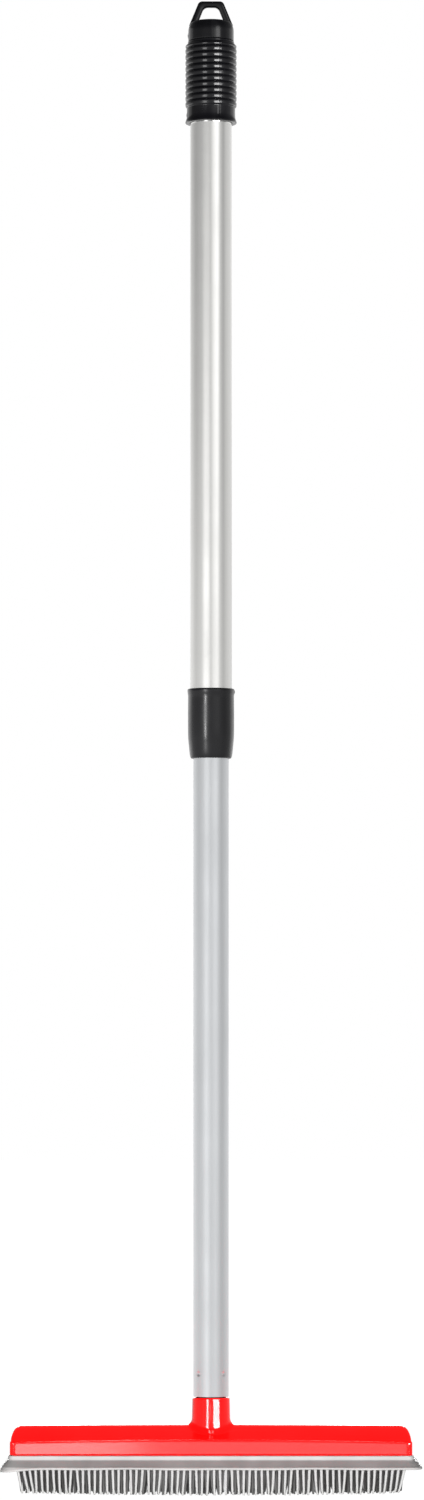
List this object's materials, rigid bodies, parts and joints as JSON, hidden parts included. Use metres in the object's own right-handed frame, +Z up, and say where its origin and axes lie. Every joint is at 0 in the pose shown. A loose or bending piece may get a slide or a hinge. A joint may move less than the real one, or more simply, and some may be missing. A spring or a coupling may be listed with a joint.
{
  "type": "carpet broom",
  "caption": "Broom for carpets with tapered rubber bristles and a flared rubber skirt under a red moulded head, on a telescoping twist-lock handle with a ribbed grip and hanging loop.",
  "frame": {"origin": "on the floor under the middle of the head, where the bristle tips stand, which is also the handle's axis", "axes": "+Z up along the handle, +X along the head, -Y towards the side shown in the picture"},
  "size_m": [0.3032, 0.0592, 1.0764],
  "materials": {
    "bristle_rubber": "soft matt moulded rubber",
    "pad_rubber": "soft matt moulded rubber",
    "plate_plastic": "plain moulded ABS",
    "screw_steel": "zinc-plated",
    "red_plastic": "high-gloss moulded polypropylene",
    "tip_plastic": "satin moulded",
    "lower_tube_paint": "satin silver paint on steel tube",
    "upper_tube_paint": "bright silver paint on steel tube",
    "lock_plastic": "satin moulded",
    "lock_nylon": "natural nylon",
    "collar_plastic": "satin moulded",
    "grip_plastic": "satin moulded",
    "cap_plastic": "satin moulded"
  },
  "bodies": {
    "lower_assembly": {"bristle_row_1": "bristle_rubber", "bristle_row_2": "bristle_rubber", "bristle_row_3": "bristle_rubber", "bristle_row_4": "bristle_rubber", "bristle_row_5": "bristle_rubber", "bristle_row_6": "bristle_rubber", "bristle_row_7": "bristle_rubber", "rubber_pad": "pad_rubber", "base_plate": "plate_plastic", "base_plate_screw_1": "screw_steel", "base_plate_screw_2": "screw_steel", "base_plate_screw_3": "screw_steel", "base_plate_screw_4": "screw_steel", "base_plate_screw_5": "screw_steel", "base_plate_screw_6": "screw_steel", "head_shell": "red_plastic", "thread_tip": "tip_plastic", "lower_tube": "lower_tube_paint", "lock_plug": "lock_plastic", "lock_washer": "screw_steel", "lock_screw": "screw_steel"},
    "lock_sleeve": {"lock_sleeve": "lock_nylon"},
    "lock_wedge": {"lock_wedge": "lock_nylon"},
    "upper_handle": {"collar": "collar_plastic", "upper_tube": "upper_tube_paint", "grip_sleeve": "grip_plastic", "end_cap": "cap_plastic"}
  },
  "joints": [
    {"name": "lock_twist", "type": "hinge", "parent": "lower_assembly", "child": "lock_sleeve", "pos_m": [0, 0, 0.6133], "axis": [0, 0, 1], "range_deg": [0, 180]},
    {"name": "wedge_travel", "type": "slide", "parent": "lock_sleeve", "child": "lock_wedge", "axis": [0, 0, 1], "range_m": [0, 0.0016]},
    {"name": "extension", "type": "slide", "parent": "lock_sleeve", "child": "upper_handle", "axis": [0, 0, 1], "range_m": [-0.384, 0.049]}
  ],
  "couplings": [
    {"joint": "wedge_travel", "follows": "lock_twist", "m_per_rad": 0.000477}
  ]
}
